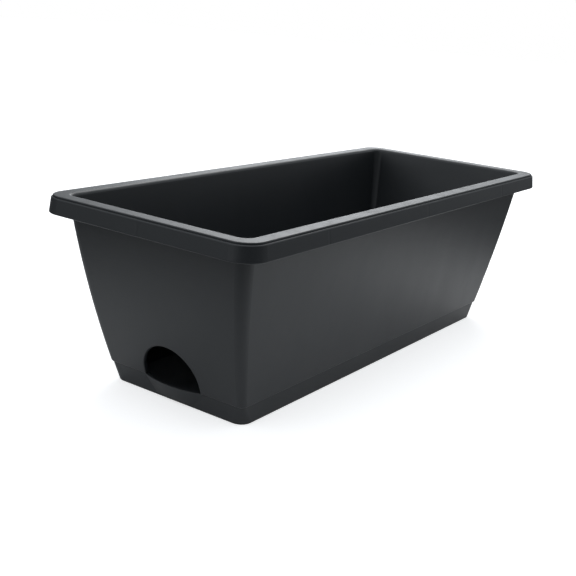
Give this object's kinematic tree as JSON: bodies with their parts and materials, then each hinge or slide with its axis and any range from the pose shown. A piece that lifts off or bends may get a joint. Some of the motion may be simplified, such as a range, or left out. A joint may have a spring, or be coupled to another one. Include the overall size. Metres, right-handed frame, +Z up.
{
  "type": "window box planter",
  "caption": "Rectangular self-watering window box planter in satin black plastic: tapered trough with a turned-down rim, half-moon filling mouth, base tray and soil separator.",
  "frame": {"origin": "on the ground under the middle of the planter", "axes": "+X along the long side, away from the half-moon mouth; +Z up; +Y completes the right hand"},
  "size_m": [0.4298, 0.1808, 0.136],
  "materials": {
    "trough_plastic": "satin black polypropylene, fine moulded grain",
    "tray_plastic": "satin black polypropylene, fine moulded grain",
    "separator_plastic": "matt black polypropylene"
  },
  "bodies": {
    "tray": {"base_tray": "tray_plastic"},
    "pot": {"planter_body": "trough_plastic"},
    "separator": {"soil_separator": "separator_plastic"}
  },
  "joints": [
    {"name": "pot_lift", "type": "slide", "parent": "tray", "child": "pot", "axis": [0, 0, 1], "range_m": [0, 0.05]},
    {"name": "separator_lift", "type": "slide", "parent": "pot", "child": "separator", "axis": [0, 0, 1], "range_m": [0, 0.15]}
  ]
}
